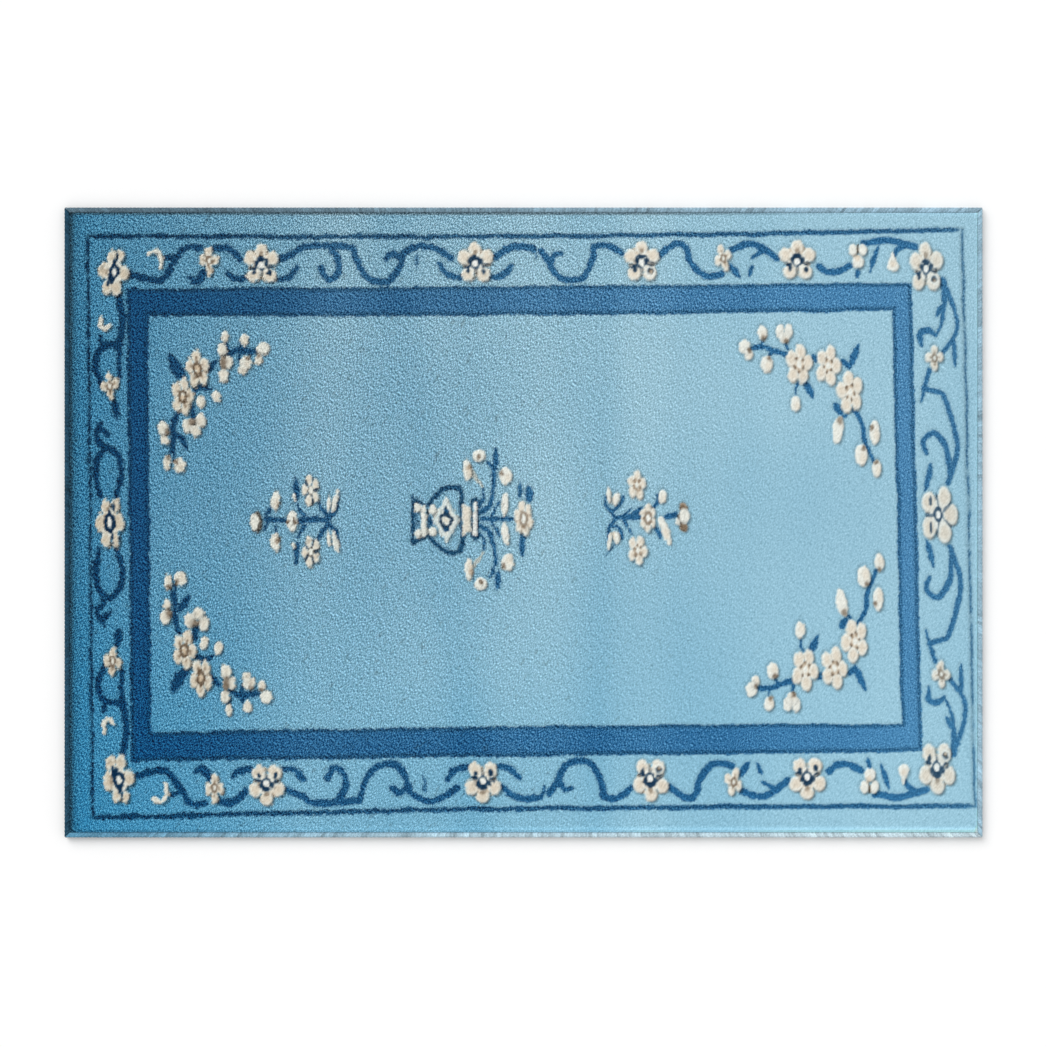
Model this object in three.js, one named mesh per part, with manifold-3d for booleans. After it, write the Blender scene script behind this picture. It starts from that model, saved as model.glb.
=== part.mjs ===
// A hand-tufted cut-pile rug with an overcast yarn edge, lying flat.
// Millimetres, +Z up. The origin is on the floor under the middle of the rug.
// +X runs along the rug, towards the top of its flower vase, and +Y across it.

import * as THREE from 'three';
import { mergeVertices } from 'three/addons/utils/BufferGeometryUtils.js';
import Module from 'manifold-3d';

const wasm = await Module();
wasm.setup();

// Driving sizes
const RUG_LENGTH = 915;
const RUG_WIDTH = 628;
const PILE_TOP = 12;
const PILE_ROUNDING = 2;
const PILE_ROUNDING_STEPS = 2;
const EDGE_WIDTH = 6;
const EDGE_HEIGHT = 9;
const EDGE_ROUNDING = 2.8;
const EDGE_ROUNDING_STEPS = 4;
const FITTING_GAP = 0.3;
const BLOSSOM_RELIEF = 1.2;
const PETALS = 5;
const POINTS_PER_PETAL = 3;
const PETAL_NOTCH = 0.26;
const BUD_POINTS = 6;
const WELD_DISTANCE = 1e-4;

// The pattern lies a little skewed on the cloth, as it was drawn by hand.
const PATTERN = {
  halfWidth: 288.5,
  shift: 7,
  slant: -0.0155,
  tilt: 0.00975,
  taperAlong: -1.6e-5,
  taperAcross: -1e-5,
  bow: 3.5,
};

// Lines shorn into the pile: the rectangle that each follows in the pattern, with its long sides drawn in
// at the waist, and its groove.
const CARVED_LINES = [
  { left: -438, right: 436, side: 288, waist: 3.2, width: 4, depth: 1.6 },
  { left: -399.5, right: 384.5, side: 234, waist: 0, width: 2.4, depth: 1.4 },
  { left: -379, right: 364.5, side: 206.3, waist: 1.8, width: 2.4, depth: 1.4 },
];

// Blossom sizes along and across the rug
const BLOSSOM_SIZES = {
  large: { along: 37, across: 41 },
  leftCorner: { along: 31, across: 47 },
  rightCorner: { along: 36, across: 50 },
  leftMiddle: { along: 29, across: 50 },
  rightMiddle: { along: 37, across: 58 },
  small: { along: 19, across: 29 },
  leftSpray: { along: 24, across: 38 },
  rightSpray: { along: 27, across: 43 },
  half: { along: 20, across: 30 },
  sprig: { along: 18, across: 32 },
};

// Blossoms of one half of the pattern. Those off its middle line are repeated in the other half.
const BLOSSOMS = [
  { size: 'large', u: -265, v: 258 },
  { size: 'large', u: -51, v: 258 },
  { size: 'large', u: 115, v: 258 },
  { size: 'large', u: 270, v: 258 },
  { size: 'leftCorner', u: -412, v: 251 },
  { size: 'rightCorner', u: 399, v: 251 },
  { size: 'leftMiddle', u: -418, v: 0 },
  { size: 'rightMiddle', u: 407, v: 0 },
  { size: 'small', u: -317, v: 261 },
  { size: 'small', u: 197, v: 261 },
  { size: 'small', u: 331, v: 261 },
  { size: 'small', u: -417, v: 136 },
  { size: 'small', u: 405, v: 158 },
  { size: 'leftSpray', u: -329, v: 153 },
  { size: 'leftSpray', u: -345, v: 126 },
  { size: 'half', u: -304, v: 160 },
  { size: 'half', u: -332, v: 98 },
  { size: 'half', u: -362, v: 90 },
  { size: 'rightSpray', u: 270, v: 152 },
  { size: 'rightSpray', u: 299, v: 151 },
  { size: 'rightSpray', u: 320, v: 124 },
  { size: 'sprig', u: -218, v: 30 },
  { size: 'sprig', u: -7, v: 0 },
  { size: 'sprig', u: 106, v: 32 },
  { size: 'sprig', u: 116, v: 0 },
];

// Buds of one half of the pattern, with their lengths along and across the rug
const BUDS = [
  { u: -302, v: 185, along: 11, across: 15 },
  { u: -283, v: 182, along: 11, across: 15 },
  { u: -264, v: 173, along: 14, across: 14 },
  { u: -282, v: 157, along: 11, across: 15 },
  { u: -326, v: 120, along: 10, across: 14 },
  { u: -311, v: 125, along: 11, across: 13 },
  { u: -361, v: 59, along: 11, across: 17 },
  { u: -348, v: 56, along: 10, across: 14 },
  { u: 217, v: 170, along: 13, across: 16 },
  { u: 234, v: 185, along: 11, across: 15 },
  { u: 256, v: 183, along: 13, across: 19 },
  { u: 238, v: 153, along: 12, across: 16 },
  { u: 266, v: 113, along: 11, across: 16 },
  { u: 307, v: 86, along: 12, across: 26 },
  { u: 343, v: 83, along: 13, across: 20 },
  { u: 330, v: 61, along: 14, across: 18 },
  { u: 346, v: 47, along: 10, across: 17 },
  { u: -273, v: 0, along: 12, across: 20 },
  { u: -254, v: 20, along: 10, across: 15 },
  { u: -237, v: 0, along: 11, across: 19 },
  { u: -63, v: 47, along: 11, across: 22 },
  { u: -51, v: 62, along: 11, across: 15 },
  { u: -25, v: 42, along: 12, across: 17 },
  { u: -25, v: 15, along: 10, across: 18 },
  { u: 82, v: 20, along: 12, across: 22 },
  { u: 131, v: 20, along: 11, across: 16 },
  { u: 153, v: 0, along: 13, across: 22 },
];

// Levels of a shorn motif: how far each lies in from the motif's outline, and its share of the relief.
const RELIEF_LEVELS = [
  { spread: 1, rise: -0.5 },
  { spread: 0.9, rise: 0.6 },
  { spread: 0.5, rise: 1 },
];

// Where a point of the pattern falls on the rug.
function onRug(u, v) {
  const x = PATTERN.shift + u + PATTERN.slant * v + PATTERN.taperAlong * u * v;
  const bow = PATTERN.bow * (1 - (v / PATTERN.halfWidth) ** 2);
  const y = PATTERN.tilt * u + v + PATTERN.taperAcross * u * v + bow;
  return new THREE.Vector2(x, y);
}

// A closed solid from any closed geometry.
function solidFrom(geometry) {
  const bare = geometry.clone();
  bare.deleteAttribute('normal');
  bare.deleteAttribute('uv');
  const merged = mergeVertices(bare, WELD_DISTANCE);
  return new wasm.Manifold(new wasm.Mesh({
    numProp: 3,
    vertProperties: Float32Array.from(merged.attributes.position.array),
    triVerts: Uint32Array.from(merged.index.array),
  }));
}

// The geometry of a solid.
function geometryFrom(solid) {
  const mesh = solid.getMesh();
  const geometry = new THREE.BufferGeometry();
  geometry.setAttribute('position', new THREE.BufferAttribute(Float32Array.from(mesh.vertProperties), 3));
  geometry.setIndex(new THREE.BufferAttribute(Uint32Array.from(mesh.triVerts), 1));
  geometry.computeVertexNormals();
  return geometry;
}

// A geometry from corner points and triangles of their numbers.
function geometryOf(points, triangles) {
  const geometry = new THREE.BufferGeometry().setFromPoints(points);
  geometry.setIndex(triangles);
  return geometry;
}

// The bare panel: square sides, and a rounded rim where the pile leans out.
function panelSlab() {
  const halfLength = RUG_LENGTH / 2 - EDGE_WIDTH - FITTING_GAP;
  const halfWidth = RUG_WIDTH / 2 - EDGE_WIDTH - FITTING_GAP;
  const outline = new THREE.Shape([
    new THREE.Vector2(-halfLength, -halfWidth),
    new THREE.Vector2(halfLength, -halfWidth),
    new THREE.Vector2(halfLength, halfWidth),
    new THREE.Vector2(-halfLength, halfWidth),
  ]);
  const block = new THREE.ExtrudeGeometry(outline, {
    depth: PILE_TOP - PILE_ROUNDING,
    bevelThickness: PILE_ROUNDING,
    bevelSize: PILE_ROUNDING,
    bevelOffset: -PILE_ROUNDING,
    bevelSegments: PILE_ROUNDING_STEPS,
  });
  const below = new THREE.BoxGeometry(RUG_LENGTH, RUG_WIDTH, 2 * PILE_TOP).translate(0, 0, -PILE_TOP);
  return solidFrom(block).subtract(solidFrom(below));
}

// A V-shaped groove round one rectangle of the pattern, reaching up out of the pile.
function carvedLine({ left, right, side, waist, width, depth }) {
  const halfway = (left + right) / 2;
  const corners = [
    { u: left, v: -side, outU: -1, outV: -1 },
    { u: halfway, v: waist - side, outU: 0, outV: -1 },
    { u: right, v: -side, outU: 1, outV: -1 },
    { u: right, v: side, outU: 1, outV: 1 },
    { u: halfway, v: side - waist, outU: 0, outV: 1 },
    { u: left, v: side, outU: -1, outV: 1 },
  ];
  const points = [];
  for (const { u, v, outU, outV } of corners) {
    const inner = onRug(u - outU * width, v - outV * width);
    const middle = onRug(u, v);
    const outer = onRug(u + outU * width, v + outV * width);
    points.push(new THREE.Vector3(inner.x, inner.y, PILE_TOP + depth));
    points.push(new THREE.Vector3(middle.x, middle.y, PILE_TOP - depth));
    points.push(new THREE.Vector3(outer.x, outer.y, PILE_TOP + depth));
  }
  const sides = 3;
  const triangles = [];
  corners.forEach((corner, index) => {
    const here = index * sides;
    const next = ((index + 1) % corners.length) * sides;
    for (let i = 0; i < sides; i += 1) {
      const j = (i + 1) % sides;
      triangles.push(here + i, next + i, here + j);
      triangles.push(here + j, next + i, next + j);
    }
  });
  return solidFrom(geometryOf(points, triangles));
}

// A shorn motif: its outline, as offsets from its middle, raised through the relief's levels.
function raisedMotif(middle, outline) {
  const count = outline.length;
  const highest = RELIEF_LEVELS.length - 1;
  const heights = RELIEF_LEVELS.map(({ rise }) => PILE_TOP + rise * BLOSSOM_RELIEF);
  const points = [];
  RELIEF_LEVELS.forEach(({ spread }, level) => {
    for (const { x, y } of outline) {
      points.push(new THREE.Vector3(middle.x + spread * x, middle.y + spread * y, heights[level]));
    }
  });
  const floor = points.length;
  const top = floor + 1;
  points.push(new THREE.Vector3(middle.x, middle.y, heights[0]));
  points.push(new THREE.Vector3(middle.x, middle.y, heights[highest]));
  const triangles = [];
  for (let i = 0; i < count; i += 1) {
    const j = (i + 1) % count;
    triangles.push(floor, j, i);
    triangles.push(top, highest * count + i, highest * count + j);
    for (let level = 0; level < highest; level += 1) {
      const low = level * count;
      const high = low + count;
      triangles.push(low + i, low + j, high + i);
      triangles.push(low + j, high + j, high + i);
    }
  }
  return solidFrom(geometryOf(points, triangles));
}

// A point round an ellipse, given its full lengths.
function ellipsePoint({ along, across }, angle, reach = 1) {
  return new THREE.Vector2((reach * along * Math.cos(angle)) / 2, (reach * across * Math.sin(angle)) / 2);
}

// Round a blossom, with a notch between each two petals and one petal pointing out.
function blossomOutline(size, outward) {
  const outline = [];
  const count = PETALS * POINTS_PER_PETAL;
  for (let i = 0; i < count; i += 1) {
    const fromTip = i - (POINTS_PER_PETAL - 2) / 2;
    const angle = (outward * Math.PI) / 2 + (fromTip * 2 * Math.PI) / count;
    const between = i % POINTS_PER_PETAL === POINTS_PER_PETAL - 1;
    outline.push(ellipsePoint(size, angle, between ? 1 - PETAL_NOTCH : 1));
  }
  return outline;
}

function budOutline(size) {
  const outline = [];
  for (let i = 0; i < BUD_POINTS; i += 1) {
    outline.push(ellipsePoint(size, (i * 2 * Math.PI) / BUD_POINTS));
  }
  return outline;
}

// The halves of the pattern in which a motif stands: both, or one for a motif on the middle line.
const halvesOf = (motif) => (motif.v > 0 ? [1, -1] : [1]);

function pilePanel() {
  let panel = panelSlab();
  for (const line of CARVED_LINES) {
    panel = panel.subtract(carvedLine(line));
  }
  for (const blossom of BLOSSOMS) {
    for (const half of halvesOf(blossom)) {
      const outline = blossomOutline(BLOSSOM_SIZES[blossom.size], half);
      panel = panel.add(raisedMotif(onRug(blossom.u, half * blossom.v), outline));
    }
  }
  for (const bud of BUDS) {
    for (const half of halvesOf(bud)) {
      panel = panel.add(raisedMotif(onRug(bud.u, half * bud.v), budOutline(bud)));
    }
  }
  return geometryFrom(panel);
}

// One side's run of overcast yarn, along X with its outer face towards -Y. Its ends are mitred.
function edgeRun(runLength, fromMiddle) {
  const section = new THREE.Shape();
  section.moveTo(0, 0);
  section.lineTo(EDGE_WIDTH, 0);
  section.lineTo(EDGE_WIDTH, EDGE_HEIGHT - EDGE_ROUNDING);
  section.absarc(EDGE_WIDTH - EDGE_ROUNDING, EDGE_HEIGHT - EDGE_ROUNDING, EDGE_ROUNDING, 0, Math.PI / 2);
  section.absarc(EDGE_ROUNDING, EDGE_HEIGHT - EDGE_ROUNDING, EDGE_ROUNDING, Math.PI / 2, Math.PI);
  const run = new THREE.ExtrudeGeometry(section, {
    depth: 1,
    bevelEnabled: false,
    curveSegments: EDGE_ROUNDING_STEPS,
  });
  const mitreGap = FITTING_GAP / Math.SQRT2;
  const position = run.attributes.position;
  for (let i = 0; i < position.count; i += 1) {
    const inward = position.getX(i);
    const height = position.getY(i);
    const end = position.getZ(i) < 0.5 ? -1 : 1;
    position.setXYZ(i, end * (runLength / 2 - inward - mitreGap), inward - fromMiddle, height);
  }
  run.computeVertexNormals();
  return run;
}

// The four sides, each turned into place from the front one.
const SIDES = [
  { name: 'serged_edge_front', runLength: RUG_LENGTH, fromMiddle: RUG_WIDTH / 2, quarterTurns: 0 },
  { name: 'serged_edge_right', runLength: RUG_WIDTH, fromMiddle: RUG_LENGTH / 2, quarterTurns: 1 },
  { name: 'serged_edge_back', runLength: RUG_LENGTH, fromMiddle: RUG_WIDTH / 2, quarterTurns: 2 },
  { name: 'serged_edge_left', runLength: RUG_WIDTH, fromMiddle: RUG_LENGTH / 2, quarterTurns: 3 },
];

const rug = new THREE.Group();

const pileWool = new THREE.MeshStandardMaterial({ color: 0x8dbcd2, roughness: 1, metalness: 0 });
const panelMesh = new THREE.Mesh(pilePanel(), pileWool);
panelMesh.name = 'pile_panel';
rug.add(panelMesh);

for (const { name, runLength, fromMiddle, quarterTurns } of SIDES) {
  const edgeWool = new THREE.MeshStandardMaterial({ color: 0x5f93b3, roughness: 1, metalness: 0 });
  const mesh = new THREE.Mesh(edgeRun(runLength, fromMiddle), edgeWool);
  mesh.name = name;
  mesh.rotation.z = (quarterTurns * Math.PI) / 2;
  rug.add(mesh);
}

export default rug;
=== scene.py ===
# Looks of the hand-tufted rug: its patterned and carved pile, overcast edges and back, on a studio floor.
# Sizes are in millimetres up to the meshes, which are in metres. The rug's +X and +Y are the frame's.
# The pattern has its own axes, u along the rug and v across it, and repeats in mirror image across v = 0.

import math

import bpy
import numpy as np
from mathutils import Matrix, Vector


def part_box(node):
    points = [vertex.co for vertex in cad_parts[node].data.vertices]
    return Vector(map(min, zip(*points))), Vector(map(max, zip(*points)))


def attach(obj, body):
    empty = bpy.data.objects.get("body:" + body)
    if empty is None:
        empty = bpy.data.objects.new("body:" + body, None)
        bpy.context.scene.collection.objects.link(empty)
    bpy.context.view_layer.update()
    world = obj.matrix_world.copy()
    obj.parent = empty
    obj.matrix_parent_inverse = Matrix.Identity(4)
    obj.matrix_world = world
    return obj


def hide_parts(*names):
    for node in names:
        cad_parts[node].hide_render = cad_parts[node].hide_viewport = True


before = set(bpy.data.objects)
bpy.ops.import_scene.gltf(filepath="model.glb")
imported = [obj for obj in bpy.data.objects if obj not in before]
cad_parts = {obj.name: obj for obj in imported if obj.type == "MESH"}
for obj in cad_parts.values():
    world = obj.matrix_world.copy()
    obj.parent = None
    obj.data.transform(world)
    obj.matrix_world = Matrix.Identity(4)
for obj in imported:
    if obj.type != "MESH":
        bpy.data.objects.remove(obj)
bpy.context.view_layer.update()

# Sizes
MM = 0.001
RUG_LENGTH = 915.0
RUG_WIDTH = 628.0
PILE_PITCH = 1.17
PILE_TOP = 12.0
RIM_HEIGHT = 8.75
RIM_OVERHANG = 0.8
TILE_NAMES_ALONG = ("left", "middle", "right")
TILE_NAMES_ACROSS = ("front", "back")

# Pile: how far it leans out at the rim, and the heights that shearing leaves
RIM_REACH = 3.2
RIM_CURVE = 1.5
RIM_DROPS = {"left": 3.5, "back": 2.6, "right": 0.9, "front": 0.9}
# Shade along each side and how far in it reaches. Below nothing it is light.
RIM_SHADES = {"left": (0.42, 5.5), "back": (0.47, 3.2), "right": (-0.24, 3.2), "front": (-0.24, 7.0)}
BACK_RIM_FADE = (225.0, 170.0)
LEFT_END_SHADE = 0.2
LEFT_END_REACH = 8.0
BLOSSOM_RISE = 1.2
BUD_RISE = 1.0
STROKE_RISE = -0.35
STROKE_RISES = {"cream": BUD_RISE, "white": BUD_RISE, "tan": 0.0, "brown": 0.0}
SHEARED_INSET = 0.6
SHEARED_SOFT = 1.4
MOTIF_TRENCH = 0.9
VASE_TRENCH = 0.4
STROKE_TRENCH = 0.45
LINE_TRENCH = 1.3
TRENCH_OUT = 0.9
TRENCH_REACH = 1.3
BAND_TRENCH_REACH = 2.0
FRAME_TRENCH_REACH = 2.6
PILE_SETTLING = 0.2
TUFT_HEIGHT = 0.05
TUFT_HEIGHT_AT_LEFT = 0.1
TUFT_LIMIT = 2

# Nap shading, the strength of painted highlights on tuft tips and painted shade between tufts, and the
# shades of trenches, partings between tufts and motifs
NAP_SHADING_LEFT = 0.74
NAP_SHADING_RIGHT = 0.11
NAP_SHADING_FADE = (20.0, 330.0)
NAP_SHADING_AT_END = 0.4
NAP_SHADING_END_REACH = 100.0
NAP_SHADING_SKEW = 0.48
NAP_SHADING_ON_DARK = 1.9
NAP_SHADING_IN_DARK = 0.5
NAP_SHADING_ON_BLOSSOMS = 0.9
NAP_SHADING_ON_STROKES = 0.4
TRENCH_SHADE = 0.12
PARTING_SHADE = 0.16
PARTING_RARITY = 2.1
PARTING_SOFT = 0.5
PARTING_DEPTH = 0.3
PARTING_LOSS = 0.8
PARTING_FADE = (60.0, 160.0)
MOTIF_SHADE = 0.4
MOTIF_SHADE_FADE = 0.5
SHADOW_STEPS = 2

# The pattern's skew on the cloth, as it was drawn by hand
SHIFT = 7.0
SLANT = -0.0155
TILT = 0.00975
TAPER_ALONG = -1.6e-5
TAPER_ACROSS = -1e-5
BOW = 3.5
BOW_HALF_WIDTH = 288.5
SKEW_STEPS = 8

# Randomness: spread of the values, and the grain's length, width and angle
GRAIN_SPREADS = 3
WOBBLE = (0.35, 26)
RAGGED_FINE = (0.5, 3)
RAGGED_COARSE = (0.125, 7)
RAGGED_FADE = 0.4
CLOUDS = (0.028, 150)
STREAKS = (0.022, 500, 60, 88)
TUFT_ANGLE = 54
TUFTS = (1, 3.4, 2.6, TUFT_ANGLE)
PARTINGS = (1, 6.5, 2.2, TUFT_ANGLE)
BREAKS = (1, 16)

# Motifs: the halves of the pattern they stand in, and how they are drawn
MIRRORED = (1, -1)
ONCE = (1,)
MOTIF_MARGIN = 6
YARN_SOFT = 0.9
BLOSSOM_SOFT = 1.3
MARK_SOFT = 1.2
PETAL_RIM = 2.6
PETAL_SHADE = 0.6
PETAL_LINE_HALF = 0.5
PETAL_LINE_INSET = 0.4
PETAL_LINE_STRENGTH = 0.3
BUD_SHADE = {"strength": 0.4, "soft": 2.5}
BUD_SHADE_SHIFT = 0.12
BUD_BASE = {"along": 4.2, "across": 5.2, "strength": 0.7, "soft": 1.8}
BUD_BASE_SHIFT = 0.36
FOLD_SHADE = {"strength": 0.3, "soft": 2.5}
FOLD_BASE = {"strength": 0.65, "soft": 2.6}
VINE_WIDTH = 6.8
PATH_STEPS = 6
LEAF_START = 0.35
LEAF_TIP = 0.3

# Yarns: sRGB at the rug's left end, sRGB at its right end, and how late along the rug the change comes
# Each yarn's change along the rug is partly its own fade and partly painted shade at the deep left end and
# painted sheen at the pale right end
YARNS = {
    "field": ((40, 119, 164), (154, 195, 213), 1.04),
    "band": ((6, 64, 117), (71, 131, 177), 2.5),
    "vine": ((2, 46, 87), (45, 105, 151), 1.7),
    "deep": ((2, 38, 74), (30, 80, 117), 1.2),
    "navy": ((3, 32, 60), (24, 50, 75), 1.2),
    "cream": ((209, 208, 195), (228, 230, 222), 1.0),
    "tan": ((182, 162, 134), (214, 198, 176), 1.0),
    "brown": ((78, 60, 44), (98, 80, 62), 1.0),
    "white": ((214, 214, 206), (232, 234, 230), 1.0),
    # The edge is one yarn in shaded and lit copies: painted shade on the left and back sides, painted light
    # on the front; "shade" is painted shade for the edge's outer lower side
    "edge_left": ((40, 76, 98), (40, 76, 98), 1.0),
    "edge_back": ((92, 116, 130), (158, 190, 208), 4.0),
    "edge_right": ((154, 188, 206), (154, 188, 206), 1.0),
    "edge_front": ((92, 148, 178), (205, 224, 232), 1.5),
    "shade": ((60, 54, 50), (170, 180, 182), 0.8),
}
COLOUR_LIMITS = (4, 250)
# Paling towards the right end: partly fade, partly painted sheen
FADE_AND_SHEEN = 0.14
FADE_AND_SHEEN_PLACE = (390.0, 60.0)
FULL_BLUENESS = 60.0
FRONT_TINT = (-5.0, 6.0, 10.0)
FRONT_TINT_FADE = 0.65
# Soft bands of painted pile shading, lighter and darker across the rug where the pile lies differently:
# place, slant, half reach and change of tone
WAVES = (
    (-205.0, 0.06, 32.0, 0.07),
    (-90.0, -0.15, 24.0, -0.075),
    (28.0, -0.03, 28.0, 0.075),
    (79.0, 0.02, 15.0, -0.05),
    (128.0, 0.0, 26.0, 0.07),
    (218.0, 0.05, 28.0, -0.04),
)
TONE_REACH = 225.0
TONE_SKEW = 0.14

# Wool: its tufts, fibres and surface
TUFT_STRETCH = 2.2
PILE_TUFT_PITCH = 2.2
PILE_BUMP = 0.5
EDGE_TUFT_PITCH = 1.6
EDGE_BUMP = 0.3
BUMP_STRENGTH = 0.7
FIBRE_PITCH = 0.82
FIBRE_STRETCH = 2.5
FIBRE_MEAN = 0.5
FIBRE_CONTRAST = 7.5
STRAND_SHARE = 1.5
STRANDS_PER_TUFT = 1.6
CELL_SHARE = 0.4
TUFT_MEAN = 0.58
TUFT_CONTRAST = 0.5
DARKEST = 0.25
LIGHTEST = 1.8
DEEPENING = 0.4
WOOL_ROUGHNESS = 0.95
WOOL_SPECULAR = 0.05
WOOL_SHEEN = 0.025
SHEEN_ROUGHNESS = 0.55
SHEEN_TINT = (0.78, 0.88, 0.95, 1.0)

# Rectangles of the pattern: left, right, half width, and how far the long sides draw in at the waist
FRAME_LINE = (-438.0, 436.0, 288.0, 3.2)
BAND_OUTER = (-399.5, 384.5, 234.0, 0.0)
BAND_INNER = (-379.0, 364.5, 206.3, 1.8)
FRAME_LINE_WIDTH = 4.6
FRAME_LINE_THIN = 2.3
FRAME_LINE_LOSS = 0.25
FRAME_LINE_BREAKS = 0.6
FRAME_LINE_TURN = (6.0, 4.0)
BREAK_RARITY = 1.1
BREAK_SOFT = 0.5
BAND_LINE_WIDTH = 3.4
BAND_LINE_STRENGTH = 0.85
BAND_LINE_TURN = 6.0
OUTER_LINE_LOSS = 0.3
INNER_LINE_LOSS = 0.75

# Overcast edges, each a quarter turn on from the one before
EDGE_NAMES = ("front", "right", "back", "left")
EDGE_WIDTH = 6.0
EDGE_HEIGHT = 9.0
EDGE_STEP = 0.8
EDGE_POINTS = 14
EDGE_SQUARENESS = 0.5
EDGE_NAP_SHADING = 0.15
EDGE_SEED = 20
MITRE_GAP = 0.25
STITCH_PITCH = 4.0
STITCH_SLANT = 0.6
STITCH_DEPTH = 0.35
STITCH_FULLNESS = 0.7
STITCH_SHADES = {"front": 0.08, "right": 0.05, "back": 0.14, "left": 0.2}
STITCH_VARIATION = 0.06
STITCH_KINDS = 400
OUTSIDE_SHADE = 0.6
OUTSIDE_LIFT = 0.4

# Back: a cotton cloth that covers the latex
BACK_THICKNESS = 2.0
BACK_PITCH = 12.0
BACK_INSET = 0.4
BACK_ROUGHNESS = 0.9
BACK_SHEEN = 0.1
BACK_GREY = 200.0
THREAD_SCALE = 105.0
THREAD_BUMP = 0.4
THREAD_RELIEF = 0.6
THREAD_DARK = (0.30, 0.26, 0.20, 1.0)
THREAD_LIGHT = (0.60, 0.54, 0.44, 1.0)

# Share of the flat sheet that edges and the upper side of the back take, and where the latter starts
EDGE_FLAT_SHARE = 0.05
UPPER_FLAT_SHARE = 0.25
UPPER_FLAT_START = (0.0, 0.72)

# Studio: a plain pale floor, soft light and a camera that looks straight down
FLOOR_SIZE = 60.0
FLOOR_COLOUR = (0.97, 0.97, 0.97, 1.0)
FLOOR_ROUGHNESS = 0.8
WORLD_LIGHT = 0.7
SUN_STRENGTH = 1.6
SUN_SOFTNESS = 45
SUN_DOWN = 34
SUN_TOWARDS = -34
PHOTO_WIDTH = 1042.4
CAMERA_HEIGHT = 2500.0
CAMERA_SHIFT_ACROSS = -1.0
SENSOR_WIDTH = 36.0


def noise(seed, strength, length, width=None, angle=0.0):
    """A smooth random field over the pile, its grain length by width and turned by angle degrees."""
    turn = math.radians(angle)
    along, across = np.meshgrid(np.fft.fftfreq(columns, PILE_PITCH), np.fft.fftfreq(rows, PILE_PITCH))
    lengthwise = along * math.cos(turn) + across * math.sin(turn)
    crosswise = across * math.cos(turn) - along * math.sin(turn)
    spread = (lengthwise * length) ** 2 + (crosswise * (width or length)) ** 2
    spread /= GRAIN_SPREADS**2
    white = np.random.default_rng(seed).standard_normal((rows, columns))
    field = np.fft.ifft2(np.fft.fft2(white) * np.exp(-2 * math.pi**2 * spread)).real
    return strength * ((field - field.mean()) / field.std())


def smooth_step(amount):
    """From 0 at -1 to 1 at 1, level at both ends."""
    amount = np.clip(amount, -1, 1)
    return 0.5 + 0.75 * amount - 0.25 * amount**3


def hump(distance, reach):
    """From 1 at no distance to nearly nothing at twice the reach."""
    return np.exp(-((distance / reach) ** 2))


def along_rug(middle, half):
    """From 0 to 1 along the rug, half before to half after a middle place."""
    return smooth_step((pile_x - middle) / half)


def near_side(gap, reach):
    """From 1 at a side of the rug to 0 at a reach from it."""
    return 1 - smooth_step(2 * gap / reach - 1)


def on_rug(u, v):
    """Where a point of the pattern falls on the rug."""
    x = SHIFT + u + SLANT * v + TAPER_ALONG * u * v
    y = TILT * u + v + TAPER_ACROSS * u * v + BOW * (1 - (v / BOW_HALF_WIDTH) ** 2)
    return x, y


def in_pattern(x, y):
    """Which point of the pattern falls at a place on the rug."""
    u, v = x - SHIFT, y
    for _ in range(SKEW_STEPS):
        error_x, error_y = on_rug(u, v)
        u = u + x - error_x
        v = v + y - error_y
    return u, v


# The pile as a grid of points, with its colour and heights
_, panel_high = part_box("pile_panel")
half_length = panel_high[0] / MM
half_width = panel_high[1] / MM
columns = round(2 * half_length / PILE_PITCH) + 1
rows = round(2 * half_width / PILE_PITCH) + 1
step_x = 2 * half_length / (columns - 1)
step_y = 2 * half_width / (rows - 1)
pile_x, pile_y = np.meshgrid(
    np.linspace(-half_length, half_length, columns), np.linspace(-half_width, half_width, rows)
)
pile_u, pile_v = in_pattern(pile_x, pile_y)
pile_u = pile_u + noise(1, *WOBBLE)
pile_v = pile_v + noise(2, *WOBBLE)
ragged = noise(3, *RAGGED_FINE) + noise(4, *RAGGED_COARSE)
ragged *= 1 - RAGGED_FADE * pile_x / half_length
# Tone along the rug, with its clouds, streaks and bands: partly the yarns' own variation, partly painted
# shade at the left end and painted sheen at the right end
tone_reach = TONE_REACH * (1 - TONE_SKEW * pile_y / half_width)
tone = 1 - np.exp(-(pile_x + RUG_LENGTH / 2) / tone_reach)
tone += noise(5, *CLOUDS) + noise(6, *STREAKS)
for place, slant, half_reach, change in WAVES:
    tone += change * hump(pile_x - place - slant * pile_y, half_reach)
tone = np.clip(tone, 0.0, 1.0)
relief = np.zeros((rows, columns))
trench = np.zeros((rows, columns))


def yarn_colour(name, tones):
    """The colour of a yarn at some tones, from 0 at the rug's left end to 1 at its right end."""
    left, right, lateness = YARNS[name]
    return np.array(left) + (tones**lateness)[..., None] * (np.array(right) - np.array(left))


WHOLE = np.s_[:, :]
field_colour = yarn_colour("field", tone)
colour = field_colour.copy()


def lay(patch, inside, yarn, strength=1.0, soft=YARN_SOFT):
    """Tuft a yarn where inside, a distance in from an outline, is above nothing."""
    cover = strength * smooth_step((inside + ragged[patch]) / soft)
    colour[patch] += cover[..., None] * (yarn_colour(yarn, tone[patch]) - colour[patch])


def shear(patch, inside, rise, depth):
    """Leave what is inside an outline higher or lower, and clip a trench just round it."""
    lift = rise * smooth_step((inside - SHEARED_INSET) / SHEARED_SOFT)
    relief[patch] = np.where(np.abs(lift) > np.abs(relief[patch]), lift, relief[patch])
    trench[patch] = np.maximum(trench[patch], depth * hump(inside + TRENCH_OUT, TRENCH_REACH))


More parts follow.
